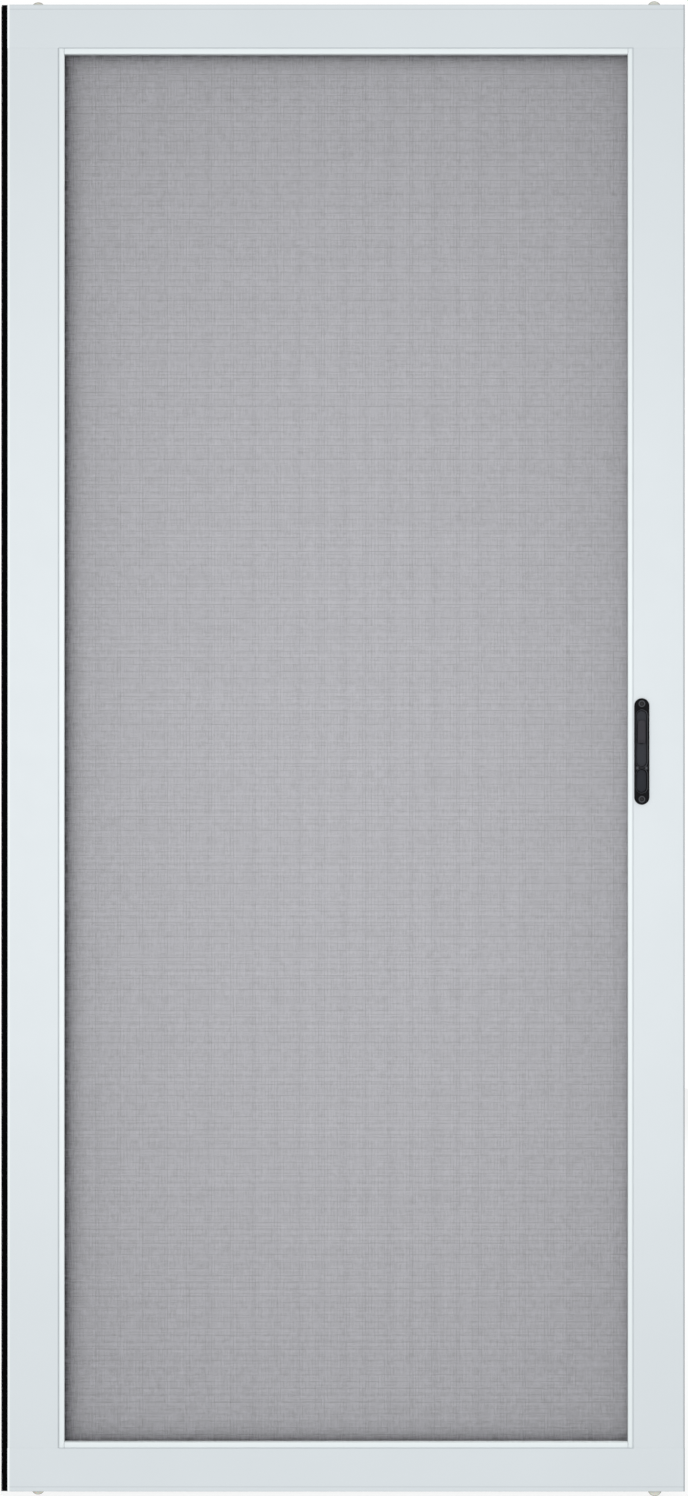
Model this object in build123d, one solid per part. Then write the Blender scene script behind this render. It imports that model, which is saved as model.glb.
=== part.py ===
"""Sliding screen door, 911 x 2000 mm leaf, in millimetres.

X runs to the right as the door is seen from outside, Y runs from the outside to the inside and
Z runs up. The pieces are drawn about the middle of the frame's depth. The finished door's origin
is on the bottom edge of the bottom rail's outer leg, in the middle of the door's width.
"""

from math import asin, atan, degrees, radians
import os

from build123d import *

# Door leaf
door_width = 911.0
door_height = 2000.0
frame_depth = 19.0
wall = 1.6
stile_face = 68.8
rail_face = 58.6
stile_corner_radius = 2.5
rail_corner_radius = 0.8
joint_corner_radius = 0.4

# Bead that carries the screen, with its spline groove open to the inside
bead_width = 7.4
bead_step = 2.5
bead_lip = 1.4
bead_depth = 10.0
bead_crown_radius = 1.3
spline_diameter = 3.9
cloth_thickness = 0.3
spline_clearance = 0.05
joint_gap = 0.1
mitre_run = 2.3

# Screen cloth, an open net that stands for the fine mesh
net_across = 8
net_high = 19
net_bar = 6.0

# Track channel in the outer edge of each rail
channel_depth = 28.0
hem_height = 6.3
hem_thickness = 2.8
hem_step = 0.4

# Screw ports and corner screws
port_inset = 60.0
port_outer_radius = 3.6
rib_thickness = 1.4
corner_screw_radius = 1.8
screw_hole_clearance = 0.2
corner_screw_bite = 20.0
corner_screw_head_radius = 3.6
corner_screw_head_height = 2.2

# Pile seal on the rear stile
seal_proud = 7.8
seal_end_gap = 1.5
seal_backing_width = 6.4
seal_backing_thickness = 1.1
seal_pile_thickness = 2.4
seal_slot_clearance = 0.2
seal_lip = 1.2

# Roller units, measured from the door's side edge and from the rail's outer edge
wheel_radius = 9.5
wheel_width = 5.0
wheel_groove = 0.9
wheel_groove_floor = 1.6
wheel_rim = 1.0
pivot_inset = 14.5
pivot_depth = 14.0
axle_reach = 27.94
axle_radius = 1.6
pivot_radius = 2.0
running_clearance = 0.06
fork_gap = 0.5
fork_thickness = 1.0
fork_play = 0.3
housing_thickness = 1.0
housing_base = 1.3
housing_start = 4.0
housing_cheek_end = 25.0
housing_end = 54.0
cheek_corner_radius = 3.6
tail_height = 8.5
tail_plate = 1.2
tail_plate_margin = 0.6
tail_radius = 2.6
arm_pivot_radius = 4.6
arm_axle_radius = 3.8
rivet_head = 0.6
rivet_head_radius = 2.7
adjuster_radius = 2.0
adjuster_head_radius = 3.2
adjuster_head_height = 1.8
adjuster_head_inset = 0.8
adjuster_tip_gap = 0.3
adjuster_slot_depth = 0.9
adjuster_slot_width = 1.0

# How far each wheel's crown stands out of its rail
crown_out = {
    "bottom_rear": 5.2,
    "bottom_handle": 7.4,
    "top_rear": 4.3,
    "top_handle": 5.6,
}
crown_out_limit = 9.0

# Pull handle and latch
handle_centre_height = 995.4
handle_centre_inset = 57.9
handle_length = 143.1
handle_width = 20.2
handle_proud = 3.0
handle_edge_radius = 1.2
handle_screw_inset = 7.3
handle_screw_radius = 2.1
cup_mouth_width = 16.2
cup_floor_width = 12.0
cup_depth = 7.6
cup_wall = 1.2
cup_end_inset = 15.0
cup_crossing_drop = 22.3
cup_crossing_web = 0.6
cutout_clearance = 0.4
thumb_inset = 14.2
thumb_length = 31.4
thumb_side_gap = 0.5
thumb_thickness = 4.0
thumb_edge_radius = 0.7
thumb_floor_gap = 0.5
thumb_teeth = 3
thumb_tooth_gap = 1.0
thumb_shelf = 2.6
thumb_shelf_height = 1.2
thumb_travel = 12.0
thumb_stem_width = 3.4
thumb_stem_height = 9.0
thumb_stem_depth = 5.0
thumb_stem_clearance = 0.5

face_plate_length = 110.0
face_plate_width = 12.0
face_plate_thickness = 1.6
face_plate_end_flat = 1.0
face_plate_clearance = 0.2
face_plate_screw_spacing = 94.0
latch_case_length = 72.0
latch_case_depth = 24.0
latch_case_wall = 1.2
hook_thickness = 3.0
hook_slot_clearance = 0.8
hook_pivot_inset = 9.5
hook_pivot_drop = 22.0
hook_pivot_radius = 2.0
hook_length = 25.0
hook_arm_radius = 3.4
hook_root = 2.0
hook_nose = 5.0
hook_nose_length = 7.0
hook_nose_point = 1.5
hook_swing = 75.0

# How far a cut runs past the face that it opens
overrun = 1.0

# Places that follow from the driving dimensions
half_width = door_width / 2
front = -frame_depth / 2
back = frame_depth / 2
inner_depth = back - wall
bead_front = front + bead_step
bead_back = bead_front + bead_depth
groove_width = spline_diameter + 2 * (cloth_thickness + spline_clearance)
groove_bottom = bead_front + wall
groove_start = bead_width - bead_lip - groove_width
stile_total = stile_face + bead_width
rail_total = rail_face + bead_width
handle_x = half_width - handle_centre_inset
handle_face = front - handle_proud
handle_screw_reach = handle_length / 2 - handle_screw_inset
cup_reach = handle_length / 2 - cup_end_inset
cup_floor = handle_face + cup_depth
cup_draft = (cup_mouth_width - cup_floor_width) / 2 / cup_depth
thumb_top = cup_reach - thumb_inset
thumb_bottom = thumb_top - thumb_length
web_top = channel_depth + wall
leg_middle = frame_depth / 2 - (hem_step + hem_thickness) / 2


def block(x0, x1, y0, y1, z0, z1):
    """A box between two corners."""
    centre = Pos((x0 + x1) / 2, (y0 + y1) / 2, (z0 + z1) / 2)
    return centre * Box(abs(x1 - x0), abs(y1 - y0), abs(z1 - z0))


def patch(u0, u1, y0, y1):
    """A rectangle of a profile, where u runs from the door's outer edge inwards."""
    return Pos((u0 + u1) / 2, (y0 + y1) / 2) * Rectangle(abs(u1 - u0), abs(y1 - y0))


def rod(radius, start, end):
    """A round rod between two points."""
    axis = Vector(*end) - Vector(*start)
    return Plane(origin=start, z_dir=axis) * extrude(Circle(radius), amount=axis.length)


def run(profile, start, inward, length):
    """A profile drawn inwards from the outer edge, extruded along that edge."""
    along = Vector(*inward).cross(Vector(0, 1, 0))
    place = Plane(origin=start, x_dir=inward, z_dir=along)
    return extrude(place * profile, amount=length)


def rounded(profile, radius, chosen):
    """A profile with the chosen corners rounded."""
    corners = [v for v in profile.vertices() if chosen(v.X, v.Y)]
    return fillet(corners, radius)


def bead_profile(face):
    """Lip, groove and front wall of the bead, beside a member whose face ends at that inset."""
    body = patch(face - wall, face + bead_width, bead_front, bead_back)
    body = rounded(body, bead_crown_radius, lambda u, y: u > face and y < 0)
    groove = patch(face + groove_start, face + groove_start + groove_width, groove_bottom, back)
    return body - groove


def rail_profile():
    """Track channel, hollow box and bead of the top and bottom rails."""
    outline = patch(0, rail_face, front, back)
    outline = rounded(outline, rail_corner_radius, lambda u, y: u < hem_height)
    outline = rounded(outline, joint_corner_radius, lambda u, y: u > hem_height)
    for side in (front, back):
        inner = side + hem_step * (1 if side < 0 else -1)
        outline -= patch(0, hem_height, side, inner)
    mouth = back - hem_thickness
    outline -= patch(-overrun, channel_depth, -mouth, mouth)
    outline -= patch(hem_height, channel_depth, -inner_depth, inner_depth)
    outline -= patch(web_top, rail_face - wall, -inner_depth, inner_depth)
    return outline + bead_profile(rail_face)


def screw_port():
    """Rib with a screw port that stiffens the hollow of each stile."""
    half_rib = rib_thickness / 2
    rib = patch(port_inset - half_rib, port_inset + half_rib, front + wall / 2, back - wall / 2)
    port = Pos(port_inset, 0) * Circle(port_outer_radius)
    bore = Pos(port_inset, 0) * Circle(corner_screw_radius + running_clearance)
    return (rib + port) - bore


def seal_slot():
    """Solid edge of the rear stile and the T-slot that is cut in it."""
    half_backing = seal_backing_width / 2 + seal_slot_clearance
    half_pile = seal_pile_thickness / 2 + seal_slot_clearance
    slot_end = seal_lip + seal_backing_thickness + seal_slot_clearance
    edge = patch(wall / 2, slot_end + wall, -half_backing - wall, half_backing + wall)
    slot = patch(seal_lip, slot_end, -half_backing, half_backing)
    slot += patch(-overrun, seal_lip + seal_slot_clearance, -half_pile, half_pile)
    return edge, slot


def stile_profile(with_seal):
    """Hollow box, screw port and bead of a stile."""
    outline = patch(0, stile_face, front, back)
    outline = rounded(outline, stile_corner_radius, lambda u, y: u < wall)
    hollow = patch(wall, stile_face - wall, -inner_depth, inner_depth)
    hollow = rounded(hollow, stile_corner_radius - wall, lambda u, y: u < 2 * wall)
    outline = outline - hollow + screw_port() + bead_profile(stile_face)
    if with_seal:
        edge, slot = seal_slot()
        outline = outline + edge - slot
    return outline


def mitre(gap):
    """Part of the rear bead face beside the lower corner, cut off along the slant of the joint."""
    outer, inner = stile_total - mitre_run + gap, stile_total + gap
    slant = Polyline(
        (0, rail_face),
        (outer, rail_face),
        (inner, rail_total),
        (inner, rail_total + overrun),
        (0, rail_total + overrun),
        close=True,
    )
    place = Plane(origin=(-half_width, groove_bottom, 0), x_dir=(1, 0, 0), z_dir=(0, -1, 0))
    return extrude(place * make_face(slant), amount=groove_bottom - front + overrun)


def rail():
    """The bottom rail, its bead cut back between the stiles, with its corner screw holes."""
    body = run(rail_profile(), (half_width, 0, 0), (0, 0, 1), door_width)
    outside = half_width + overrun
    bead_end = half_width - stile_total - joint_gap
    hole = corner_screw_radius + screw_hole_clearance
    for hand in (-1, 1):
        high = rail_total + overrun
        body -= block(hand * bead_end, hand * outside, groove_bottom, back + overrun, rail_face, high)
        x = hand * (half_width - port_inset)
        body -= rod(hole, (x, 0, channel_depth - overrun), (x, 0, high))
    slant = mitre(joint_gap)
    return body - slant - mirror(slant, about=Plane.YZ)


def stile(hand, with_seal):
    """A stile between the rails, with its bead's face mitred and its lip notched at the rails."""
    bottom, top = rail_face, door_height - rail_face
    start = (hand * half_width, 0, top if hand > 0 else bottom)
    body = run(stile_profile(with_seal), start, (-hand, 0, 0), top - bottom)
    lip_out = half_width - stile_total + bead_lip + overrun
    lip_in = half_width - stile_total - overrun
    notch = rail_total - bead_lip
    for z0, z1 in ((bottom - overrun, notch), (door_height - notch, top + overrun)):
        body -= block(hand * lip_in, hand * lip_out, groove_bottom, back, z0, z1)
    corner = block(-half_width + port_inset, 0, front - overrun, groove_bottom, 0, rail_total)
    corner -= mitre(0)
    if hand > 0:
        corner = mirror(corner, about=Plane.YZ)
    middle = Plane.XY.offset(door_height / 2)
    return body - corner - mirror(corner, about=middle)


def stadium(width, top, bottom):
    """An upright stadium between two heights."""
    tall = top - bottom
    return Pos(0, (top + bottom) / 2) * SlotOverall(tall, width, rotation=90)


def upright(sketch, depth_start, depth_end, slope=0):
    """A sketch of the pull handle, seen from its front, made solid between two depths."""
    place = Plane(origin=(handle_x, depth_start, handle_centre_height), x_dir=(1, 0, 0), z_dir=(0, 1, 0))
    flipped = mirror(sketch, about=Plane.XZ)
    return extrude(place * flipped, amount=depth_end - depth_start, taper=slope)


def cups(grow, start, end):
    """Both recesses between two depths, narrowing to their floors and grown by a wall or a gap."""
    spread = grow - cup_draft * (start - handle_face)
    width = cup_mouth_width + 2 * spread
    upper_end = -cup_crossing_drop + cup_crossing_web / 2
    lower_end = -cup_crossing_drop - cup_crossing_web / 2
    upper = stadium(width, cup_reach + spread, upper_end - spread)
    lower = stadium(width, lower_end + spread, -cup_reach - spread)
    slope = degrees(atan(cup_draft))
    return [upright(mouth, start, end, slope) for mouth in (upper, lower)]


def pull_plate(with_thumb):
    """Moulded pull plate on the outside face, with two tapered recesses sunk in the stile."""
    outline = stadium(handle_width, handle_length / 2, -handle_length / 2)
    plate = upright(outline, handle_face, front)
    rim = plate.faces().sort_by(Axis.Y)[0].edges()
    plate = fillet(rim, handle_edge_radius)
    for shell in cups(cup_wall, handle_face + handle_proud / 2, cup_floor + cup_wall):
        plate += shell
    for hollow in cups(0, handle_face, cup_floor):
        plate -= hollow
    for side in (-1, 1):
        z = handle_centre_height + side * handle_screw_reach
        start, end = (handle_x, handle_face - overrun, z), (handle_x, front + overrun, z)
        plate -= rod(handle_screw_radius, start, end)
    if with_thumb:
        plate -= thumb_slot(cup_floor - overrun, cup_floor + cup_wall + overrun)
    return plate


def thumb_slot(depth_start, depth_end):
    """Slot that the thumb slide's stem travels in."""
    middle = (thumb_top + thumb_bottom) / 2
    reach = thumb_stem_height / 2 + thumb_stem_clearance
    half = thumb_stem_width / 2 + thumb_stem_clearance
    z0 = handle_centre_height + middle - thumb_travel - reach
    z1 = handle_centre_height + middle + reach
    return block(handle_x - half, handle_x + half, depth_start, depth_end, z0, z1)


def thumb_slide():
    """Thumb slide with a round head, a toothed shelf and a stem that goes through the recess floor."""
    width = cup_floor_width - 2 * thumb_side_gap
    high = cup_floor - thumb_floor_gap
    low = high - thumb_thickness
    head = stadium(width, thumb_top, thumb_bottom - width)
    middle = (thumb_top + thumb_bottom) / 2
    head &= Pos(0, middle) * Rectangle(width, thumb_length)
    body = upright(head, low, high)
    body = fillet(body.faces().sort_by(Axis.Y)[0].edges(), thumb_edge_radius)
    row = width - 2 * thumb_edge_radius
    tooth = (row - (thumb_teeth - 1) * thumb_tooth_gap) / thumb_teeth
    z0 = handle_centre_height + thumb_bottom + thumb_edge_radius
    for k in range(thumb_teeth):
        x0 = handle_x - row / 2 + k * (tooth + thumb_tooth_gap)
        shelf = block(x0, x0 + tooth, low - thumb_shelf_height, high, z0, z0 + thumb_shelf)
        body += fillet(shelf.faces().sort_by(Axis.Y)[0].edges(), thumb_shelf_height / 3)
    half, rise = thumb_stem_width / 2, thumb_stem_height / 2
    z = handle_centre_height + middle
    start, end = high - thumb_thickness / 2, high + thumb_stem_depth
    return body + block(handle_x - half, handle_x + half, start, end, z - rise, z + rise)


def handle_cutout(body):
    """The handle stile with the openings for the pull plates and the latch."""
    spread = cup_wall + cutout_clearance - cup_draft * handle_proud
    outline = stadium(cup_mouth_width + 2 * spread, cup_reach + spread, -cup_reach - spread)
    body -= upright(outline, front - overrun, back + overrun)
    for side in (-1, 1):
        z = handle_centre_height + side * handle_screw_reach
        start, end = (handle_x, front - overrun, z), (handle_x, back + overrun, z)
        body -= rod(handle_screw_radius, start, end)
    tall = face_plate_length / 2 + face_plate_clearance
    wide = face_plate_width / 2 + face_plate_clearance
    x0 = half_width - wall - overrun
    z0, z1 = handle_centre_height - tall, handle_centre_height + tall
    return body - block(x0, half_width + overrun, -wide, wide, z0, z1)


def hook_slot(x0, x1):
    """Slot that the latch hook swings through."""
    half = hook_thickness / 2 + hook_slot_clearance
    pivot_z = handle_centre_height - hook_pivot_drop
    z0 = pivot_z - hook_arm_radius - hook_slot_clearance
    z1 = pivot_z + hook_length + hook_arm_radius + hook_slot_clearance
    return block(x0, x1, -half, half, z0, z1)


def latch_face_plate():
    """Face plate let into the edge of the handle stile."""
    x0 = half_width - face_plate_thickness
    half = face_plate_width / 2
    z0 = handle_centre_height - face_plate_length / 2
    plate = block(x0, half_width, -half, half, z0, z0 + face_plate_length)
    plate = fillet(plate.edges().filter_by(Axis.X), (face_plate_width - face_plate_end_flat) / 2)
    plate -= hook_slot(x0 - overrun, half_width + overrun)
    for side in (-1, 1):
        z = handle_centre_height + side * face_plate_screw_spacing / 2
        plate -= rod(handle_screw_radius, (x0 - overrun, 0, z), (half_width + overrun, 0, z))
    return plate


def latch_case():
    """Open-edged case behind the face plate, with the pin that the hook turns on."""
    x1 = half_width - face_plate_thickness
    x0 = x1 - latch_case_depth
    half = face_plate_width / 2
    z0 = handle_centre_height - latch_case_length / 2
    case = block(x0, x1, -half, half, z0, z0 + latch_case_length)
    t = latch_case_wall
    case -= block(x0 + t, x1 + overrun, -half + t, half - t, z0 + t, z0 + latch_case_length - t)
    x, z = hook_pivot()
    return case + rod(hook_pivot_radius, (x, -half + t / 2, z), (x, half - t / 2, z))


def hook_pivot():
    """Place of the hook's pin."""
    return half_width - hook_pivot_inset, handle_centre_height - hook_pivot_drop


def latch_hook():
    """Hook that stands upright in the latch case and swings out through the face plate."""
    x, z = hook_pivot()
    place = Plane(origin=(x, hook_thickness / 2, z), x_dir=(1, 0, 0), z_dir=(0, -1, 0))
    tip, neck = hook_length, hook_length - hook_nose_length / 2
    end = Pos(-hook_root / 2, hook_length - hook_arm_radius) * Circle(hook_arm_radius / 2)
    shape = make_hull((Circle(hook_arm_radius) + end).edges())
    nose = Polyline(
        (-hook_root, tip),
        (hook_nose, tip),
        (hook_nose + hook_nose_point, neck),
        (hook_nose, tip - hook_nose_length),
        (hook_root, neck),
        (-hook_root, neck),
        close=True,
    )
    shape += make_face(nose)
    shape -= Circle(hook_pivot_radius + running_clearance)
    return extrude(place * shape, amount=hook_thickness)


def arm_angle(crown):
    """Angle of the roller arm below the pivot when the wheel's crown stands out that far."""
    return degrees(asin((pivot_depth - wheel_radius + crown) / axle_reach))


def arm_plate(angle):
    """Side outline of a roller arm at rest, in the plane of the rail."""
    axle = Vector(axle_reach, 0).rotate(Axis.Z, -angle)
    tail = Vector(0, tail_height)
    pivot_disc = Circle(arm_pivot_radius)
    crank = make_hull((pivot_disc + Pos(axle.X, axle.Y) * Circle(arm_axle_radius)).edges())
    lever = make_hull((pivot_disc + Pos(tail.X, tail.Y) * Circle(tail_radius)).edges())
    return crank + lever, axle


def unit_plane(y):
    """Plane of a roller unit, with X along the rail, Y inwards and its origin at the arm's pivot."""
    return Plane(origin=(pivot_inset, y, pivot_depth), x_dir=(1, 0, 0), z_dir=(0, -1, 0))


def roller_arm(angle):
    """Forked bell crank with its axle: the wheel at one end, the adjusting tail at the other."""
    outline, axle = arm_plate(angle)
    outline -= Circle(pivot_radius + running_clearance)
    inner = wheel_width / 2 + fork_gap
    outer = inner + fork_thickness
    arm = extrude(unit_plane(outer) * outline, amount=fork_thickness)
    arm += extrude(unit_plane(-inner) * outline, amount=fork_thickness)
    x0 = pivot_inset - tail_radius
    z0 = pivot_depth + arm_pivot_radius - tail_plate_margin
    z1 = pivot_depth + tail_height + tail_radius - tail_plate_margin
    arm += block(x0, x0 + tail_plate, -outer, outer, z0, z1)
    x, z = pivot_inset + axle.X, pivot_depth + axle.Y
    arm += rod(axle_radius, (x, -outer, z), (x, outer, z))
    for side in (-1, 1):
        arm += rod(rivet_head_radius, (x, side * outer, z), (x, side * (outer + rivet_head), z))
    return arm


def roller_wheel(angle):
    """Nylon wheel with a hollow tread that runs on the track's raised bead."""
    axle = arm_plate(angle)[1]
    half = wheel_width / 2
    shape = patch(axle_radius + running_clearance, wheel_radius, -half, half)
    edge, floor = half - wheel_rim, wheel_groove_floor / 2
    deep, clear = wheel_radius - wheel_groove, wheel_radius + overrun
    tread = Polyline(
        (deep, -floor),
        (wheel_radius, -edge),
        (clear, -edge),
        (clear, edge),
        (wheel_radius, edge),
        (deep, floor),
        close=True,
    )
    shape -= make_face(tread)
    wheel = revolve(shape, Axis.Y)
    return Pos(pivot_inset + axle.X, 0, pivot_depth + axle.Y) * wheel


def roller_housing():
    """Pressed housing on the channel's web: base, two cheeks with the pivot pin, and an end tab."""
    inner = wheel_width / 2 + fork_gap + fork_thickness + fork_play
    outer = inner + housing_thickness
    top = channel_depth
    housing = block(housing_start, housing_end, -outer, outer, top - housing_base, top)
    cheek = patch(housing_start, housing_cheek_end, pivot_depth - arm_pivot_radius, top)
    cheek = fillet(cheek.vertices().group_by(Axis.Y)[0], cheek_corner_radius)
    for y in (outer, -inner):
        place = Plane(origin=(0, y, 0), x_dir=(1, 0, 0), z_dir=(0, -1, 0))
        housing += extrude(place * cheek, amount=housing_thickness)
    z0 = pivot_depth + tail_height - adjuster_radius - housing_base
    tab = block(housing_start, housing_start + housing_base, -outer, outer, z0, top)
    adjuster_z = pivot_depth + tail_height
    bore = adjuster_radius + running_clearance
    tab -= rod(bore, (0, 0, adjuster_z), (pivot_inset, 0, adjuster_z))
    housing += tab
    reach = outer + rivet_head
    housing += rod(pivot_radius, (pivot_inset, -reach, pivot_depth), (pivot_inset, reach, pivot_depth))
    return housing


def adjusting_screw():
    """Screw through the housing's tab that bears on the arm's tail and sets the wheel's height."""
    z = pivot_depth + tail_height
    tip = pivot_inset - tail_radius - adjuster_tip_gap
    head_end = adjuster_head_inset + adjuster_head_height
    screw = rod(adjuster_radius, (adjuster_head_inset, 0, z), (tip, 0, z))
    screw += rod(adjuster_head_radius, (adjuster_head_inset, 0, z), (head_end, 0, z))
    half, reach = adjuster_slot_width / 2, adjuster_head_radius
    return screw - block(0, adjuster_head_inset + adjuster_slot_depth, -half, half, z - reach, z + reach)


def corner_screw():
    """Long screw from the channel's web through the rail into the stile's port."""
    start, end = channel_depth - corner_screw_head_height, rail_face + corner_screw_bite
    x = port_inset
    screw = rod(corner_screw_radius, (x, 0, start), (x, 0, end))
    return screw + rod(corner_screw_head_radius, (x, 0, start), (x, 0, channel_depth))


def corner(name):
    """Placement of a corner's pieces, which are drawn at the lower corner of the rear stile."""
    low = name.startswith("bottom")
    rear = name.endswith("rear")
    turn = {
        (True, True): (0, 0, 0),
        (True, False): (0, 0, 180),
        (False, True): (180, 0, 0),
        (False, False): (0, 180, 0),
    }[(low, rear)]
    return Pos(-half_width if rear else half_width, 0, 0 if low else door_height) * Rot(*turn)


def screen_cloth():
    """Screen stretched over the lips, with its edges turned down into the spline grooves."""
    half = half_width - stile_total + bead_lip + cloth_thickness
    z0 = rail_total - bead_lip - cloth_thickness
    z1 = door_height - z0
    low = groove_bottom + cloth_thickness
    sheet = block(-half, half, low, bead_back + cloth_thickness, z0, z1)
    t = cloth_thickness
    sheet -= block(-half + t, half - t, low - overrun, bead_back, z0 + t, z1 - t)
    wide = 2 * (half_width - stile_total) - net_bar
    tall = door_height - 2 * rail_total - net_bar
    hole = Rectangle(wide / net_across - net_bar, tall / net_high - net_bar)
    spots = GridLocations(wide / net_across, tall / net_high, net_across, net_high)
    holes = Sketch() + [spot * hole for spot in spots]
    place = Plane(origin=(0, bead_back - overrun, door_height / 2), x_dir=(1, 0, 0), z_dir=(0, 1, 0))
    return sheet - extrude(place * holes, amount=cloth_thickness + 2 * overrun)


def splines():
    """Four lengths of spline pressed in the grooves."""
    inset = groove_start + groove_width - cloth_thickness - spline_clearance - spline_diameter / 2
    x = half_width - stile_face - inset
    z = rail_face + inset
    y = bead_back - spline_diameter / 2 - cloth_thickness
    x_end = half_width - stile_total + bead_lip - joint_gap
    z_end = rail_face + joint_gap
    radius = spline_diameter / 2
    return {
        "spline_bottom": rod(radius, (-x_end, y, z), (x_end, y, z)),
        "spline_top": rod(radius, (-x_end, y, door_height - z), (x_end, y, door_height - z)),
        "spline_rear": rod(radius, (-x, y, z_end), (-x, y, door_height - z_end)),
        "spline_handle": rod(radius, (x, y, z_end), (x, y, door_height - z_end)),
    }


def seal():
    """Pile seal: its backing in the rear stile's slot and the pile that stands out of it."""
    edge = -half_width
    x0 = edge + seal_lip + seal_slot_clearance / 2
    x1 = x0 + seal_backing_thickness
    half = seal_backing_width / 2
    bottom, top = rail_face + joint_gap, door_height - rail_face - joint_gap
    backing = block(x0, x1, -half, half, bottom, top)
    half = seal_pile_thickness / 2
    pile = block(edge - seal_proud, x0, -half, half, bottom, top)
    z0, z1 = seal_end_gap, door_height - seal_end_gap
    pile += block(edge - seal_proud, edge - joint_gap, -half, half, z0, z1)
    return {"seal_backing": backing, "seal_pile": pile}


def inner_pull_plate():
    """The same pull plate on the inside face, without the thumb slide."""
    return mirror(pull_plate(False), about=Plane.XZ)


def assembly():
    """Every node of the door by name."""
    nodes = {
        "top_rail": mirror(rail(), about=Plane.XY.offset(door_height / 2)),
        "bottom_rail": rail(),
        "rear_stile": stile(-1, True),
        "handle_stile": handle_cutout(stile(1, False)),
        "screen_cloth": screen_cloth(),
        "outer_pull": pull_plate(True),
        "inner_pull": inner_pull_plate(),
        "thumb_slide": thumb_slide(),
        "latch_face_plate": latch_face_plate(),
        "latch_case": latch_case(),
        "latch_hook": latch_hook(),
    }
    nodes.update(splines())
    nodes.update(seal())
    for name, crown in crown_out.items():
        angle = arm_angle(crown)
        place = corner(name)
        nodes[f"roller_housing_{name}"] = place * roller_housing()
        nodes[f"roller_arm_{name}"] = place * roller_arm(angle)
        nodes[f"roller_wheel_{name}"] = place * roller_wheel(angle)
        nodes[f"adjusting_screw_{name}"] = place * adjusting_screw()
        nodes[f"corner_screw_{name}"] = place * corner_screw()
    return nodes


os.makedirs("parts", exist_ok=True)
for node, solid in assembly().items():
    export_step(Pos(0, leg_middle, 0) * solid, f"parts/{node}.step")
for name, crown in crown_out.items():
    travel = arm_angle(crown_out_limit) - arm_angle(crown)
    print(name, "arm travel", round(travel, 2), "degrees")
print("hook turns", round(radians(hook_swing) / thumb_travel, 4), "radians per mm of thumb travel")
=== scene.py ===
# %% [markdown]
# A sliding screen door
#
# The door is a white metal leaf with a dark insect mesh, a black pull handle, a black pile seal on
# its rear edge and four small rollers. The solids come from the CAD model and stay where they are.
# This lesson gives them their finishes, and adds what is too fine for solids: the threads of the
# mesh, the fibres of the pile and the heads of the screws.

# %% Load the door
import math
import random

import bpy
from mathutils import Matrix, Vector


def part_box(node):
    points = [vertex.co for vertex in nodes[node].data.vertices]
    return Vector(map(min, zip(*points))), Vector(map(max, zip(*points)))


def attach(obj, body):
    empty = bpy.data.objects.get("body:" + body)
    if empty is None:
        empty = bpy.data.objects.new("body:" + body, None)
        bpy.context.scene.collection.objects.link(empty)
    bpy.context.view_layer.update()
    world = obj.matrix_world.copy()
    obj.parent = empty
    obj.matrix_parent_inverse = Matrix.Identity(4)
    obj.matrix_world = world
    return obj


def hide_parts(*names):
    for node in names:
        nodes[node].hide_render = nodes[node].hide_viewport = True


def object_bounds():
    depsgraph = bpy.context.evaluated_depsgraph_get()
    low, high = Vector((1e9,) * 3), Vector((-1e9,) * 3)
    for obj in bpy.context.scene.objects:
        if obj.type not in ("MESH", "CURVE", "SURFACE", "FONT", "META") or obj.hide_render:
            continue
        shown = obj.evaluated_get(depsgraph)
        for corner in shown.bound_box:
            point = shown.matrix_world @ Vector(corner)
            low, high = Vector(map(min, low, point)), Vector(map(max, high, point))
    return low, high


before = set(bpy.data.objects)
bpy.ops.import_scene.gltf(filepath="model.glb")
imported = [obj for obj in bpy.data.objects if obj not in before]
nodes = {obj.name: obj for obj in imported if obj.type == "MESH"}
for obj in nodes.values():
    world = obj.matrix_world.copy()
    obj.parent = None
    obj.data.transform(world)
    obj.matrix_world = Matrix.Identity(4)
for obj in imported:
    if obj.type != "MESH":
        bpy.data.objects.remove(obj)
cad_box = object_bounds()
bpy.ops.object.select_all(action="DESELECT")

# %% [markdown]
# Places that the rest needs
#
# Every place is read from the solids, so that a piece made here lands exactly on what carries it.
# The front of the door faces -Y and the handle is on the +X side.

# %% Read places from the solids
MM = 0.001

rail_low, rail_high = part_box("bottom_rail")
cloth_low, cloth_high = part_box("screen_cloth")
pull_low, pull_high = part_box("outer_pull")
door_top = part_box("top_rail")[1].z
door_width = rail_high.x - rail_low.x
door_middle = Vector(((rail_low.x + rail_high.x) / 2, (rail_low.y + rail_high.y) / 2, door_top / 2))
print("door", round(door_width, 4), "by", round(door_top, 4))

# %% [markdown]
# Camera
#
# The picture was taken square on, at the height of the handle. It is 1496 pixels high and the leaf
# fills 1487.1 of them, which fixes how much the lens has to take in. The distance shows at the top
# and bottom, where the wheels stand out behind the rails: the nearer the camera, the more the rails
# hide of them. Five metres gives the crowns the height that they have in the picture.

# %% Place the camera
PICTURE_HEIGHT_PX = 1496
LEAF_HEIGHT_PX = 1487.1
PICTURE_MIDDLE = (344.0, 748.0)
LEAF_LEFT_PX = 7.4
LEAF_BOTTOM_PX = 1491.6
SENSOR = 36.0
CAMERA_DISTANCE = 5.0

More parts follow.
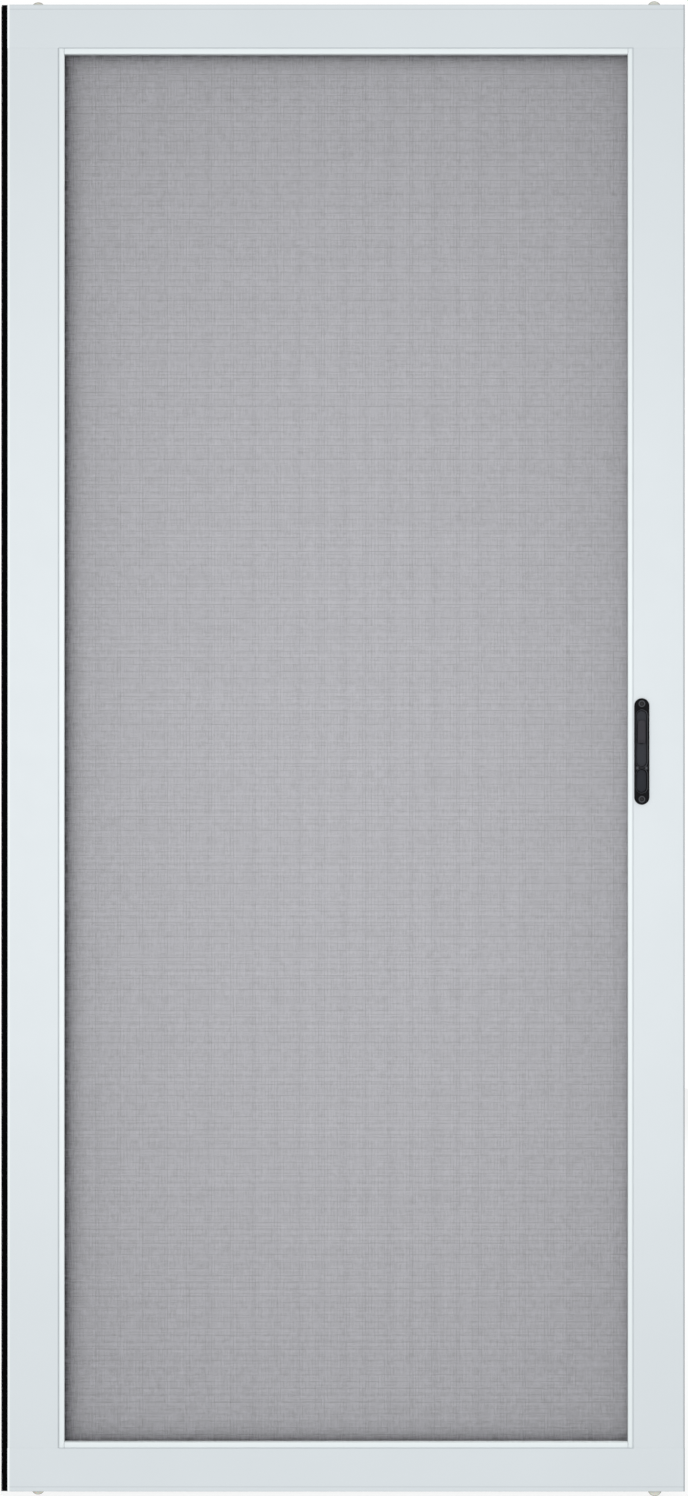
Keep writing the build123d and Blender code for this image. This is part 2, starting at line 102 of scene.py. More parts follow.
metres_per_pixel = door_top / LEAF_HEIGHT_PX
view_height = PICTURE_HEIGHT_PX * metres_per_pixel
camera_data = bpy.data.cameras.new("camera")
camera_data.sensor_width = SENSOR
camera_data.lens = SENSOR * CAMERA_DISTANCE / view_height
camera = bpy.data.objects.new("camera", camera_data)
camera.location = (
    rail_low.x + (PICTURE_MIDDLE[0] - LEAF_LEFT_PX) * metres_per_pixel,
    rail_low.y - CAMERA_DISTANCE,
    (LEAF_BOTTOM_PX - PICTURE_MIDDLE[1]) * metres_per_pixel,
)
camera.rotation_euler = (math.pi / 2, 0, 0)
bpy.context.scene.collection.objects.link(camera)
bpy.context.scene.camera = camera
print("lens", round(camera_data.lens, 1), "mm")

# %% [markdown]
# Shader maths
#
# A procedural finish is a sum of small patterns. Written as nodes that is hard to read, so one small
# class wraps a socket: adding or multiplying two wires adds the Math node that does it.


# %% A class for shader maths
class Wire:
    """A value in a node tree that takes part in ordinary arithmetic."""

    def __init__(self, wiring, socket):
        self.wiring = wiring
        self.socket = socket

    def math(self, operation, *others):
        """A Math node that takes this value first."""
        return self.wiring.node("ShaderNodeMath", {"operation": operation}, (self, *others))["Value"]

    def __add__(self, other):
        return self.math("ADD", other)

    def __sub__(self, other):
        return self.math("SUBTRACT", other)

    def __rsub__(self, other):
        return self.math("MULTIPLY", -1) + other

    def __mul__(self, other):
        return self.math("MULTIPLY", other)

    def __truediv__(self, other):
        return self.math("DIVIDE", other)

    def __gt__(self, other):
        return self.math("GREATER_THAN", other)

    def __lt__(self, other):
        return self.math("LESS_THAN", other)

    def __abs__(self):
        return self.math("ABSOLUTE")

    __radd__ = __add__
    __rmul__ = __mul__


# %% [markdown]
# Node trees
#
# A material and the world each have a tree of nodes. Here one method makes any node: it sets what kind
# of sum or ramp it is, fills its sockets with values or wires, and hands its outputs back as wires.
# Colours can't go through Math nodes, which would turn them grey, so they have a method of their own.


# %% A class for node trees
class Wiring:
    """A node tree, and the methods that add nodes to it."""

    def __init__(self, tree):
        self.tree = tree

    def node(self, kind, settings=None, values=()):
        """A node with its settings made first, then its sockets filled in order or by name."""
        node = self.tree.nodes.new(kind)
        for name, value in (settings or {}).items():
            if name == "stops":
                self.stops(node.color_ramp.elements, value)
            else:
                setattr(node, name, value)
        pairs = values.items() if isinstance(values, dict) else enumerate(values)
        for key, value in pairs:
            self.fill(node.inputs[key], value)
        return {s.name: Wire(self, s) for s in node.outputs if s.enabled}

    def stops(self, elements, stops):
        """Sets a colour ramp's stops, of which it has two from the start."""
        for element, (place, colour) in zip((elements[0], elements[-1]), (stops[0], stops[-1])):
            element.position = place
            element.color = colour
        for place, colour in stops[1:-1]:
            elements.new(place).color = colour

    def fill(self, socket, value):
        if isinstance(value, Wire):
            self.tree.links.new(value.socket, socket)
        else:
            socket.default_value = value

    def blend(self, factor, first, second):
        """A colour between two colours."""
        node = self.tree.nodes.new("ShaderNodeMix")
        node.data_type = "RGBA"
        self.fill(node.inputs["Factor"], factor)
        for socket, value in zip([s for s in node.inputs if s.type == "RGBA"], (first, second)):
            self.fill(socket, value)
        return Wire(self, next(s for s in node.outputs if s.type == "RGBA"))


# %% [markdown]
# A material
#
# Every finish of the door is one Principled shader. What is the same all over goes onto its sockets.
# What varies is worked out from the point of the surface, in metres, so that the grain of a finish is
# as fine on a screw as on a rail.


# %% A class for materials
class Paint(Wiring):
    """One material: constant values on its shader's own sockets, and wires where a value varies."""

    def __init__(self, name, **constants):
        self.material = bpy.data.materials.new(name)
        self.material.use_nodes = True
        super().__init__(self.material.node_tree)
        self.shader = self.tree.nodes["Principled BSDF"]
        self.vary(**constants)

    def vary(self, **values):
        """Fills sockets of the shader, with an underscore for each space in their names."""
        for socket, value in values.items():
            self.fill(self.shader.inputs[socket.replace("_", " ")], value)

    def place(self):
        """The point of the surface, in metres, in the door's own frame."""
        return self.node("ShaderNodeTexCoord")["Object"]

    def axes(self):
        """The same point as three numbers."""
        split = self.node("ShaderNodeSeparateXYZ", values=[self.place()])
        return split["X"], split["Y"], split["Z"]

    def noise(self, size, detail=2, stretch=(1, 1, 1)):
        """Noise whose grains are about size metres across, stretched along an axis if wanted."""
        scale = tuple(1 / s for s in stretch)
        values = {"Vector": self.place(), "Scale": scale}
        stretched = self.node("ShaderNodeMapping", values=values)["Vector"]
        values = {"Vector": stretched, "Scale": 1 / size, "Detail": detail}
        return self.node("ShaderNodeTexNoise", values=values)["Fac"]

    def bump(self, height, depth):
        """Relief from a wire whose 0 to 1 stands for that many metres."""
        values = {"Height": height, "Distance": depth, "Strength": 1.0}
        self.vary(Normal=self.node("ShaderNodeBump", values=values)["Normal"])


# %% [markdown]
# Colours are written from 0 to 255, as a paint chart gives them. The solids are found by the names of
# their nodes, and like pieces by how their names start.


# %% Colours and names
def linear(red, green, blue):
    """A colour as a paint chart gives it, from 0 to 255, as the shader wants it."""
    scaled = [c / 255 for c in (red, green, blue)]
    return (*[c / 12.92 if c < 0.04045 else ((c + 0.055) / 1.055) ** 2.4 for c in scaled], 1.0)


def finish(paint, *names):
    """Gives a material to carried-over solids."""
    for name in names:
        data = nodes[name].data
        data.materials.clear()
        data.materials.append(paint.material)


def every(start):
    return sorted(name for name in nodes if name.startswith(start))


# %% [markdown]
# White baked enamel
#
# The rails and stiles are coil-coated metal: a smooth, slightly bluish white with a soft gloss. Flat
# colour would look like paper, so the paint gets a very shallow orange peel, a faint change of tone
# over a hand's width and a little uneven gloss. The bead round the mesh is painted whiter than the
# rest, a painted highlight where its rounded edge catches the light.
#
# A thin grey line of painted shade lies in the crease beside the bead. Grey lines also run along the
# rails' hem and outer edges and where the beads butt in each corner, and the stiles' outer edges get a
# painted highlight on the left and painted shade on the right. Each line is a distance from an edge of
# the door, so it needs no picture: near() turns a distance into a soft line, and blend() lays a colour
# along it.


# %% Draw the lines of the frame
STILE_WITH_BEAD = 76.2 * MM
STILE_FACE = 68.8 * MM
RAIL_WITH_BEAD = 66.0 * MM
RAIL_FACE = 58.6 * MM
HEM_LINE, HEM_HALF, HEM_SHADE = 6.3 * MM, 0.9 * MM, 0.6
LIP_HALF, LIP_SHADE = 1.6 * MM, 0.4
CORNER_HALF = 0.8 * MM
LEFT_LINE, LEFT_HALF = STILE_FACE - 0.3 * MM, 1.6 * MM
RIGHT_LINE, RIGHT_HALF, RIGHT_SHADE = STILE_FACE + 0.9 * MM, 1.8 * MM, 0.7
RAIL_LINE, RAIL_HALF, RAIL_SHADE = RAIL_FACE - 0.4 * MM, 1.3 * MM, 0.65

# The first colour is a painted highlight on the bead; the second is the grey of the lines of painted
# shade and of the joint lines.
bead_highlight_white = linear(229, 235, 236)
shade_and_joint_grey = linear(176, 182, 186)


def near(distance, centre, half):
    """A factor that rises to 1 at a distance and falls to 0 on both sides of it."""
    return (1 - abs(distance - centre) / half).math("MAXIMUM", 0)


def stile_lines(paint, tone, left, right):
    """The painted highlight on a stile's bead and the line of painted shade beside it."""
    tone = paint.blend(left.math("MINIMUM", right) > STILE_FACE, tone, bead_highlight_white)
    tone = paint.blend(near(left, LEFT_LINE, LEFT_HALF), tone, shade_and_joint_grey)
    return paint.blend(near(right, RIGHT_LINE, RIGHT_HALF) * RIGHT_SHADE, tone, shade_and_joint_grey)


def rail_lines(paint, tone, left, right, z):
    """Hem and edge lines, the bead's painted highlight, painted shade beside it and corner joints."""
    inset = z.math("MINIMUM", door_top - z)
    tone = paint.blend(near(inset, HEM_LINE, HEM_HALF) * HEM_SHADE, tone, shade_and_joint_grey)
    tone = paint.blend(near(inset, 0, LIP_HALF) * LIP_SHADE, tone, shade_and_joint_grey)
    on_bead = inset > RAIL_FACE
    tone = paint.blend(on_bead, tone, bead_highlight_white)
    corner = near(left.math("MINIMUM", right), STILE_WITH_BEAD, CORNER_HALF)
    tone = paint.blend(corner * on_bead, tone, shade_and_joint_grey)
    beside_bead = (left > STILE_FACE) * (right > STILE_FACE)
    return paint.blend(near(inset, RAIL_LINE, RAIL_HALF) * beside_bead * RAIL_SHADE, tone, shade_and_joint_grey)


# %% [markdown]
# The colour, the gloss and the relief of the paint each come from a noise of their own size. The lines
# go over the colour, and the edges' painted highlight and painted shade over the lines, on the first
# few millimetres of the depth only.

# %% Paint the frame
STILE_EDGE = 4.0 * MM
LIGHT_EDGE, LIGHT_HALF = 1.6 * MM, 2.0 * MM
DARK_EDGE, DARK_HALF = 0.4 * MM, 2.0 * MM
PATCH_SHADE = 0.955

left_edge_highlight = linear(252, 254, 254)
right_edge_shade = linear(146, 152, 156)


def enamel(name, colour, upright):
    """White paint for the stiles, which stand upright, or for the rails."""
    paint = Paint(name, Specular_IOR_Level=0.4, Coat_Weight=0.1, Coat_Roughness=0.25)
    darker = tuple(c * PATCH_SHADE for c in colour[:3]) + (1.0,)
    tone = paint.blend(paint.noise(0.16, detail=3), darker, colour)
    x, y, z = paint.axes()
    left, right = door_width / 2 + x, door_width / 2 - x
    if upright:
        tone = stile_lines(paint, tone, left, right)
    else:
        tone = rail_lines(paint, tone, left, right, z)
    at_front = y < rail_low.y + STILE_EDGE
    # Painted highlight along the left outer edge and painted shade along the right one, at the front.
    tone = paint.blend(near(left, LIGHT_EDGE, LIGHT_HALF) * at_front, tone, left_edge_highlight)
    tone = paint.blend(near(right, DARK_EDGE, DARK_HALF) * at_front, tone, right_edge_shade)
    paint.vary(Base_Color=tone, Roughness=0.36 + 0.12 * paint.noise(0.03, detail=3))
    paint.bump(paint.noise(0.0016, detail=1), 0.00003)
    return paint


finish(enamel("stile_enamel", linear(213, 219, 222), True), "rear_stile", "handle_stile")
finish(enamel("rail_enamel", linear(214, 220, 223), False), "top_rail", "bottom_rail")
print("painted the frame")

# %% [markdown]
# Zinc-plated steel
#
# Housings, arms, screws and the latch are pressed from steel strip and zinc plated. Zinc is a light
# grey metal with a fine rolling grain and cloudy patches, so the roughness carries the pattern and
# the colour only shifts a little from blue-grey to a faint yellow.


# %% Plate the small metal parts
YELLOWING = (1.0, 0.97, 0.88)


def zinc(name, colour, roughness):
    paint = Paint(name, Metallic=1.0)
    cloud = paint.noise(0.006, detail=3)
    warm = tuple(c * k for c, k in zip(colour, YELLOWING)) + (1.0,)
    paint.vary(Base_Color=paint.blend(cloud, colour, warm))
    grain = paint.noise(0.0008, detail=2, stretch=(12, 1, 1))
    paint.vary(Roughness=roughness + 0.16 * grain)
    paint.bump(grain, 0.000006)
    return paint


plate = zinc("zinc_plate", linear(196, 198, 200), 0.30)
finish(plate, *every("roller_housing"), *every("roller_arm"))
finish(zinc("latch_steel", linear(188, 190, 192), 0.26), "latch_face_plate", "latch_case", "latch_hook")
screw_steel = zinc("screw_steel", linear(205, 206, 208), 0.22)
finish(screw_steel, *every("adjusting_screw"), *every("corner_screw"))
screw_black = zinc("black_oxide", linear(44, 44, 46), 0.45)
print("plated the hardware")

# %% [markdown]
# Nylon wheels
#
# The wheels are turned from natural nylon, a creamy, slightly translucent plastic. Light goes a
# little way into it, which a small subsurface weight gives. Fine rings left by the mould run round
# the tread, whose rim is painted darker than its sides: painted shade at the outline of the wheel.


# %% Mould the wheels
TREAD_DEPTH = 1.1 * MM
RING_PITCH = 0.6 * MM


def nylon(wheel):
    paint = Paint(f"nylon_{wheel}", Subsurface_Weight=0.15, Subsurface_Scale=0.001)
    low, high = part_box(wheel)
    x, y, z = paint.axes()
    across, up = x - (low.x + high.x) / 2, z - (low.z + high.z) / 2
    square = across * across + up * up
    radius = square.math("SQRT")
    cream = paint.blend(paint.noise(0.004, detail=3), linear(208, 207, 194), linear(222, 221, 210))
    # Painted shade: the rim of the tread is darker than the sides.
    tread_shade = near(radius, (high.z - low.z) / 2, TREAD_DEPTH)
    paint.vary(Base_Color=paint.blend(tread_shade, cream, linear(110, 110, 104)))
    paint.vary(Roughness=0.34 + 0.16 * paint.noise(0.0012))
    rings = (y * (2 * math.pi / RING_PITCH)).math("SINE")
    paint.bump(rings, 0.000008)
    return paint


for wheel in every("roller_wheel"):
    finish(nylon(wheel), wheel)
print("moulded the wheels")

# %% [markdown]
# Black plastic of the handle
#
# The pull is moulded in black with a fine spark-eroded grain. Where fingers run over it the grain is
# polished, so the gloss changes in soft patches. The thumb slide is the same plastic, a little greyer,
# and the spline and the seal's backing are dull black.


# %% Mould the black parts
def moulded(name, dark, light, roughness, grain_size, grain_depth, specular=0.14):
    """Plastic between two colours, with a grain of that size and depth in metres."""
    paint = Paint(name, Specular_IOR_Level=specular)
    wear = paint.noise(0.02, detail=3)
    paint.vary(Base_Color=paint.blend(wear, dark, light))
    paint.vary(Roughness=roughness + 0.14 * paint.noise(0.008, detail=2))
    paint.bump(paint.noise(grain_size, detail=2), grain_depth)
    return paint


thumb_black = moulded("thumb_black", linear(54, 53, 57), linear(62, 61, 66), 0.4, 0.0005, 0.00002, 0.05)
finish(thumb_black, "thumb_slide")
spline_vinyl = moulded("spline_vinyl", linear(24, 24, 25), linear(34, 34, 35), 0.55, 0.0009, 0.00005)
finish(spline_vinyl, *every("spline"))
backing_black = moulded("backing_black", linear(20, 20, 21), linear(28, 28, 29), 0.5, 0.001, 0.00002)
finish(backing_black, "seal_backing")
print("moulded the black parts")

# %% [markdown]
# The two pull plates
#
# Each plate has two cups for the fingers. A colour ramp along the depth draws what the picture shows
# of them: a black rim, a painted highlight round each mouth, painted shade on the cup walls and a grey
# floor. The upper cup is painted a little lighter, leaving the lower one in painted shade. The ring
# round each screw and the two corners where the cups meet carry painted highlights. The depth is
# counted from the nearer plate, so one ramp serves the outer plate and the inner one.

# %% Colour the pull plates
CUP_HALF_WIDTH = 8.3 * MM
CUP_HALF_LENGTH = 57.0 * MM
# The ramp's stops: black rim, a painted highlight on the mouth's edge, painted shade on the walls, grey
# floor.
CUP_LIGHT_AND_SHADE_STOPS = (
    (0.02, linear(16, 16, 18)),
    (0.05, linear(92, 94, 98)),
    (0.30, linear(80, 82, 86)),
    (0.40, linear(24, 24, 26)),
    (0.68, linear(24, 24, 26)),
    (0.74, linear(50, 52, 57)),
)
RAMP_DEPTH = 10.0 * MM
RIM_DEPTH = 0.4 * MM
SCREW_SPACING = 128.5 * MM
RING_RADIUS, RING_HALF = 3.7 * MM, 1.1 * MM
CROSSING_DROP = 22.3 * MM
CORNER_AWAY, CORNER_WIDTH, CORNER_HEIGHT = 6.0 * MM, 2.6 * MM, 2.8 * MM
RING_SHADE = 0.8
UPPER_CUP_SHADE = 0.05

pull_x = (pull_low.x + pull_high.x) / 2
pull_z = (pull_low.z + pull_high.z) / 2


def pull_black():
    """Black plastic: dark polished rim, painted highlights and shade in the cups, a greyer floor."""
    paint = moulded("handle_black", linear(14, 14, 16), linear(20, 20, 22), 0.4, 0.0005, 0.00003, 0.03)
    rim = Wire(paint, paint.shader.inputs["Base Color"].links[0].from_socket)
    x, y, z = paint.axes()
    depth = (door_middle.y - pull_low.y) - abs(y - door_middle.y)
    across, along = abs(x - pull_x), abs(z - pull_z)
    inside = paint.node("ShaderNodeValToRGB", {"stops": CUP_LIGHT_AND_SHADE_STOPS}, [depth / RAMP_DEPTH])["Color"]
    above_crossing = z > pull_z - CROSSING_DROP
    # Painted light: the upper cup is a little lighter than the lower one.
    inside = paint.blend(above_crossing * UPPER_CUP_SHADE, inside, linear(150, 152, 158))
    # Painted highlights: a light ring round each screw and the corners where the cups meet.
    from_screw = across * across + (along - SCREW_SPACING / 2) * (along - SCREW_SPACING / 2)
    ring = near(from_screw.math("SQRT"), RING_RADIUS, RING_HALF)
    rim = paint.blend(ring * RING_SHADE, rim, linear(96, 98, 102))
    corner = near(across, CORNER_AWAY, CORNER_WIDTH) * near(z, pull_z - CROSSING_DROP, CORNER_HEIGHT)
    rim = paint.blend(corner, rim, linear(92, 94, 98))
    in_cup = (across < CUP_HALF_WIDTH) * (along < CUP_HALF_LENGTH) * (depth > RIM_DEPTH)
    paint.vary(Base_Color=paint.blend(in_cup, rim, inside))
    return paint


finish(pull_black(), "outer_pull", "inner_pull")
print("coloured the pull plates")

# %% [markdown]
# Helpers for modelling
#
# New pieces start from a primitive and are shaped in edit mode. An operator works on whatever is
# selected, so each helper first clears the selection, then picks faces by where they are or which
# way they look.


# %% Small modelling helpers
def deselect():
    bpy.ops.object.select_all(action="DESELECT")


def edit(piece, test=None):
    """Opens a piece in edit mode with the faces selected that pass a test of centre and normal."""
    deselect()
    piece.select_set(True)
    bpy.context.view_layer.objects.active = piece
    bpy.context.tool_settings.mesh_select_mode = (False, False, True)
    bpy.ops.object.mode_set(mode="EDIT")
    bpy.ops.mesh.select_all(action="DESELECT")
    bpy.ops.object.mode_set(mode="OBJECT")
    for face in piece.data.polygons:
        face.select = bool(test and test(face.center, face.normal))
    bpy.ops.object.mode_set(mode="EDIT")
    if test is None:
        bpy.ops.mesh.select_all(action="SELECT")


def close(piece):
    """Leaves edit mode."""
    bpy.ops.object.mode_set(mode="OBJECT")
    deselect()
    return piece


def cube(name, low, high):
    """A box between two corners, with its place in its mesh."""
    deselect()
    low, high = Vector(low), Vector(high)
    bpy.ops.mesh.primitive_cube_add(size=1, location=(low + high) / 2)
    piece = bpy.context.object
    piece.name = name
    piece.scale = high - low
    bpy.ops.object.transform_apply(location=True, rotation=True, scale=True)
    return piece


def repeat(piece, count, step):
    """Copies in a row, joined in one mesh."""
    deselect()
    bpy.context.view_layer.objects.active = piece
    row = piece.modifiers.new("row", "ARRAY")
    row.use_relative_offset = False
    row.use_constant_offset = True
    row.constant_offset_displace = step
    row.count = count
    bpy.ops.object.modifier_apply(modifier=row.name)
    return piece


def join(name, pieces):
    """One piece of several."""
    deselect()
    for piece in pieces:
        piece.select_set(True)
    bpy.context.view_layer.objects.active = pieces[0]
    bpy.ops.object.join()
    pieces[0].name = name
    deselect()
    return pieces[0]


def wear_paint(piece, paint, body="door_leaf"):
    """Gives a new piece its material and the body that it moves with."""
    piece.data.materials.clear()
    piece.data.materials.append(paint.material)
    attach(piece, body)
    return piece


# %% [markdown]
# The insect mesh
#
# Insect mesh is woven from glass yarn coated in dark vinyl, 18 threads to the inch across and 16 up,
# and heat-fused where the threads cross. A picture of holes on a flat sheet would be simpler, but it
# would have no thickness. Real threads are cheap here: a square bar with its ends turned into the
# groove beside the lip, where the spline presses them.

# %% Bend one thread
THREAD = 0.28 * MM

groove_reach = cloth_high.y - cloth_low.y


def thread(name, low, high, along):
    """A bar along X or Z with both ends turned towards the front, into the grooves."""
    bar = cube(name, low, high)
    middle = (Vector(low) + Vector(high)) / 2
    across = Vector((0, 0, 0))
    across[along] = 1
    for end in (low[along] + THREAD, high[along] - THREAD):
        point = middle.copy()
        point[along] = end
        edit(bar)
        bpy.ops.mesh.bisect(plane_co=point, plane_no=across)
        close(bar)

    def front_of_an_end(centre, normal):
        at_end = not low[along] + THREAD < centre[along] < high[along] - THREAD
        return at_end and normal.y < -0.9

    edit(bar, front_of_an_end)
    leg = groove_reach - THREAD
    bpy.ops.mesh.extrude_region_move(TRANSFORM_OT_translate={"value": (0, -leg, 0)})
    return close(bar)


# %% [markdown]
# No two threads of a real mesh are quite alike. A group of bars is made one by one, each a little off
# in thickness and place, and every third one heavier, which gives the fine grid that shows from far
# away. An array then repeats the group over the opening, and what is left of a group fills the end.

# %% Weave the mesh
INCH = 0.0254
ACROSS_PITCH = INCH / 18
UP_PITCH = INCH / 16
CROSSING_SHIFT = 0.02 * MM
GROUP = 45
SPACING_ERROR = {2: 0.025 * MM, 0: 0.05 * MM}
THICKNESS_ERROR = {2: 0.08, 0: 0.15}
HEAVY_EVERY = 3
HEAVIER = 0.18
MESH_SEED = 3


def group_of(name, first, length, low, high, along, step):
    """So many threads side by side, from the given number of the row on."""
    rng = random.Random(MESH_SEED + along)
    side = step.normalized()
    bars = []
    for number in range(first, first + length):
        shift = step * number + side * (rng.uniform(-1, 1) * SPACING_ERROR[along])
        heavier = HEAVIER if number % HEAVY_EVERY == 0 else -HEAVIER / (HEAVY_EVERY - 1)
        growth = rng.uniform(-1, 1) * THICKNESS_ERROR[along] + heavier
        half = side * (THREAD * growth / 2)
        bars.append(thread(f"{name}_{number}", low + shift - half, high + shift + half, along))
    return join(f"{name}_from_{first}", bars)


def uneven_rows(name, count, low, high, along, step):
    """A row of threads: whole groups repeated, and part of a group at the end."""
    groups, spare = divmod(count, GROUP)
    row = repeat(group_of(name, 0, GROUP, low, high, along, step), groups, step * GROUP)
    if spare:
        row = join(name, [row, group_of(name, groups * GROUP, spare, low, high, along, step)])
    return row


def weave():
    back = cloth_high.y
    up_count = math.floor((cloth_high.x - cloth_low.x - THREAD) / ACROSS_PITCH) + 1
    across_count = math.floor((cloth_high.z - cloth_low.z - THREAD) / UP_PITCH) + 1
    x = (cloth_low.x + cloth_high.x) / 2 - (up_count - 1) * ACROSS_PITCH / 2
    z = (cloth_low.z + cloth_high.z) / 2 - (across_count - 1) * UP_PITCH / 2
    y = back - CROSSING_SHIFT
    half = THREAD / 2
    low, high = Vector((x - half, y - THREAD, cloth_low.z)), Vector((x + half, y, cloth_high.z))
    upright = uneven_rows("upright", up_count, low, high, 2, Vector((ACROSS_PITCH, 0, 0)))
    low, high = Vector((cloth_low.x, back - THREAD, z - half)), Vector((cloth_high.x, back, z + half))
    level = uneven_rows("level", across_count, low, high, 0, Vector((0, 0, UP_PITCH)))
    print("threads:", up_count, "upright and", across_count, "across")
    return join("insect_mesh", [upright, level])


insect_mesh = weave()

# %% [markdown]
# Vinyl-coated yarn
#
# The coating is charcoal, a little glossy, with the lumps of the yarn under it. Light and dark streaks
# along the threads are painted glints of light on the yarn: one noise stretched upwards and one
# stretched sideways, added together.


# %% Coat the threads
DASH = 1.6 * MM
DASH_STRETCH = 8
DASH_CONTRAST = 2.0
DASH_LEVEL = 0.46


def charcoal_yarn():
    paint = Paint("charcoal_yarn", Specular_IOR_Level=0.5)
    upwards = paint.noise(DASH, detail=1, stretch=(1, 1, DASH_STRETCH))
    sideways = paint.noise(DASH, detail=1, stretch=(DASH_STRETCH, 1, 1))
    painted_glints = (upwards + sideways - 1) * DASH_CONTRAST + DASH_LEVEL
    painted_glints = painted_glints.math("MAXIMUM", 0).math("MINIMUM", 1)
    # The light end of this blend is a painted glint on the charcoal yarn.
    paint.vary(Base_Color=paint.blend(painted_glints, linear(12, 12, 16), linear(142, 141, 148)))
    paint.vary(Roughness=0.42 + 0.2 * paint.noise(0.0008))
    return paint


wear_paint(insect_mesh, charcoal_yarn())
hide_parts("screen_cloth")

# %% [markdown]
# The pile seal
#
# The seal is a brush: thousands of black fibres woven into a backing strip that slides in the stile's
# slot. One small tuft of tapering fibres, each leaning a little its own way, is modelled and repeated
# along the strip. The eye doesn't find the repeat, because the tuft is only two millimetres long.
# The pile was cut a little longer than the stile, so it stands out at both ends.

# %% Make the brush
TUFT_LENGTH = 2.0 * MM
FIBRES = 13
FIBRE_RADIUS = 0.22 * MM
FIBRE_TIP_RADIUS = 0.099 * MM
TIP_REACH = 1.4 * MM
TIP_ERROR = 0.5 * MM
PILE_OVERHANG = 2.9 * MM
ROOT_GAP = 0.25 * MM
LEAN = 0.03
PILE_SEED = 7

pile_low, pile_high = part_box("seal_pile")


def fibre(x_root, x_tip, y, z, lean, number):
    """One tapering fibre that points away from the stile."""
    deselect()
    length = x_root - x_tip
    bpy.ops.mesh.primitive_cone_add(
        vertices=3,
        radius1=FIBRE_RADIUS,
        radius2=FIBRE_TIP_RADIUS,
        depth=length,
        location=((x_root + x_tip) / 2, y, z),
        rotation=(0, -math.pi / 2, lean),
    )
    hair = bpy.context.object
    hair.name = f"fibre_{number}"
    bpy.ops.object.transform_apply(location=True, rotation=True, scale=True)
    return hair


def tuft():
    rng = random.Random(PILE_SEED)
    middle = (pile_low.y + pile_high.y) / 2
    spread = (pile_high.y - pile_low.y) / 2 - FIBRE_RADIUS * 1.5
    first_z = pile_low.z - PILE_OVERHANG + FIBRE_RADIUS * 1.6
    hairs = []
    for number in range(FIBRES):
        y = middle + rng.uniform(-spread, spread)
        z = first_z + (number + rng.random()) * TUFT_LENGTH / FIBRES
        x_tip = pile_low.x - TIP_REACH + rng.random() ** 2 * TIP_ERROR
        lean = rng.uniform(-LEAN, LEAN)
        hairs.append(fibre(rail_low.x - ROOT_GAP, x_tip, y, z, lean, number))
    return join("pile_fibres", hairs)


pile = tuft()
pile_length = pile_high.z - pile_low.z + 2 * PILE_OVERHANG
tuft_count = math.floor((pile_length - FIBRE_RADIUS * 4) / TUFT_LENGTH)
repeat(pile, tuft_count, (0, 0, TUFT_LENGTH))
print("tufts:", tuft_count, "faces:", len(pile.data.polygons))

# %% [markdown]
# The brush is so dense that it reads as one soft black edge. A core strip behind the fibres keeps
# light from showing between their roots, as the woven ground of the real pile does.

# %% Back the brush
CORE_REACH = 0.5 * MM
CORE_GAP = 0.2 * MM
CORE_INSET = 0.45 * MM
CORE_SETBACK = 0.3 * MM
CORE_ROUNDING = 0.5 * MM

core_end = PILE_OVERHANG - CORE_SETBACK
core = cube(
    "pile_core",
    (pile_low.x - CORE_REACH, pile_low.y + CORE_INSET, pile_low.z - core_end),
    (rail_low.x - CORE_GAP, pile_high.y - CORE_INSET, pile_high.z + core_end),
)
edit(core)
bpy.ops.mesh.bevel(offset=CORE_ROUNDING, segments=3)
close(core)
pile = join("pile_brush", [pile, core])


def pile_black():
    paint = Paint("pile_black", Roughness=1.0, Specular_IOR_Level=0.03)
    cloud = paint.noise(0.003, detail=3)
    paint.vary(Base_Color=paint.blend(cloud, linear(3, 3, 3), linear(9, 9, 10)))
    paint.bump(paint.noise(0.0004), 0.00008)
    return paint


wear_paint(pile, pile_black())
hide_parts("seal_pile")
print("brush:", len(pile.data.polygons), "faces")

# %% [markdown]
# Screws
#
# The pull plates are held by oval-head screws with a cross recess. The head is a flattened sphere cut
# in half, and the recess is two short slots pressed into it with a boolean. The sphere is laid with
# its poles along Y, so that the cut falls on a whole ring of its points and leaves a clean rim.

# %% Turn one screw
HEAD_RADIUS = 3.0 * MM
HEAD_HEIGHT = 1.3 * MM
RECESS_WIDTH = 0.75 * MM
RECESS_REACH = 1.7 * MM
RECESS_DEPTH = 0.9 * MM


def screw_head(name):
    """A domed head that looks along -Y, with its rim at Y = 0."""
    deselect()
    turned = (math.pi / 2, 0, 0)
    bpy.ops.mesh.primitive_uv_sphere_add(segments=40, ring_count=20, radius=1, rotation=turned)
    head = bpy.context.object
    head.name = name
    head.scale = (HEAD_RADIUS, HEAD_RADIUS, HEAD_HEIGHT)
    bpy.ops.object.transform_apply(location=True, rotation=True, scale=True)
    edit(head)
    bpy.ops.mesh.bisect(plane_co=(0, 0, 0), plane_no=(0, 1, 0), use_fill=True, clear_outer=True)
    close(head)
    depth = (-HEAD_HEIGHT * 2, -HEAD_HEIGHT + RECESS_DEPTH)
    half = RECESS_WIDTH / 2
    slots = [
        cube("slot_a", (-RECESS_REACH, depth[0], -half), (RECESS_REACH, depth[1], half)),
        cube("slot_b", (-half, depth[0], -RECESS_REACH), (half, depth[1], RECESS_REACH)),
    ]
    for slot_cutter in slots:
        bpy.context.view_layer.objects.active = head
        cut = head.modifiers.new("recess", "BOOLEAN")
        cut.object = slot_cutter
        cut.solver = "EXACT"
        bpy.ops.object.modifier_apply(modifier=cut.name)
        bpy.data.objects.remove(slot_cutter)
    deselect()
    head.select_set(True)
    bpy.context.view_layer.objects.active = head
    bpy.ops.object.shade_smooth_by_angle(angle=math.radians(35))
    deselect()
    return head


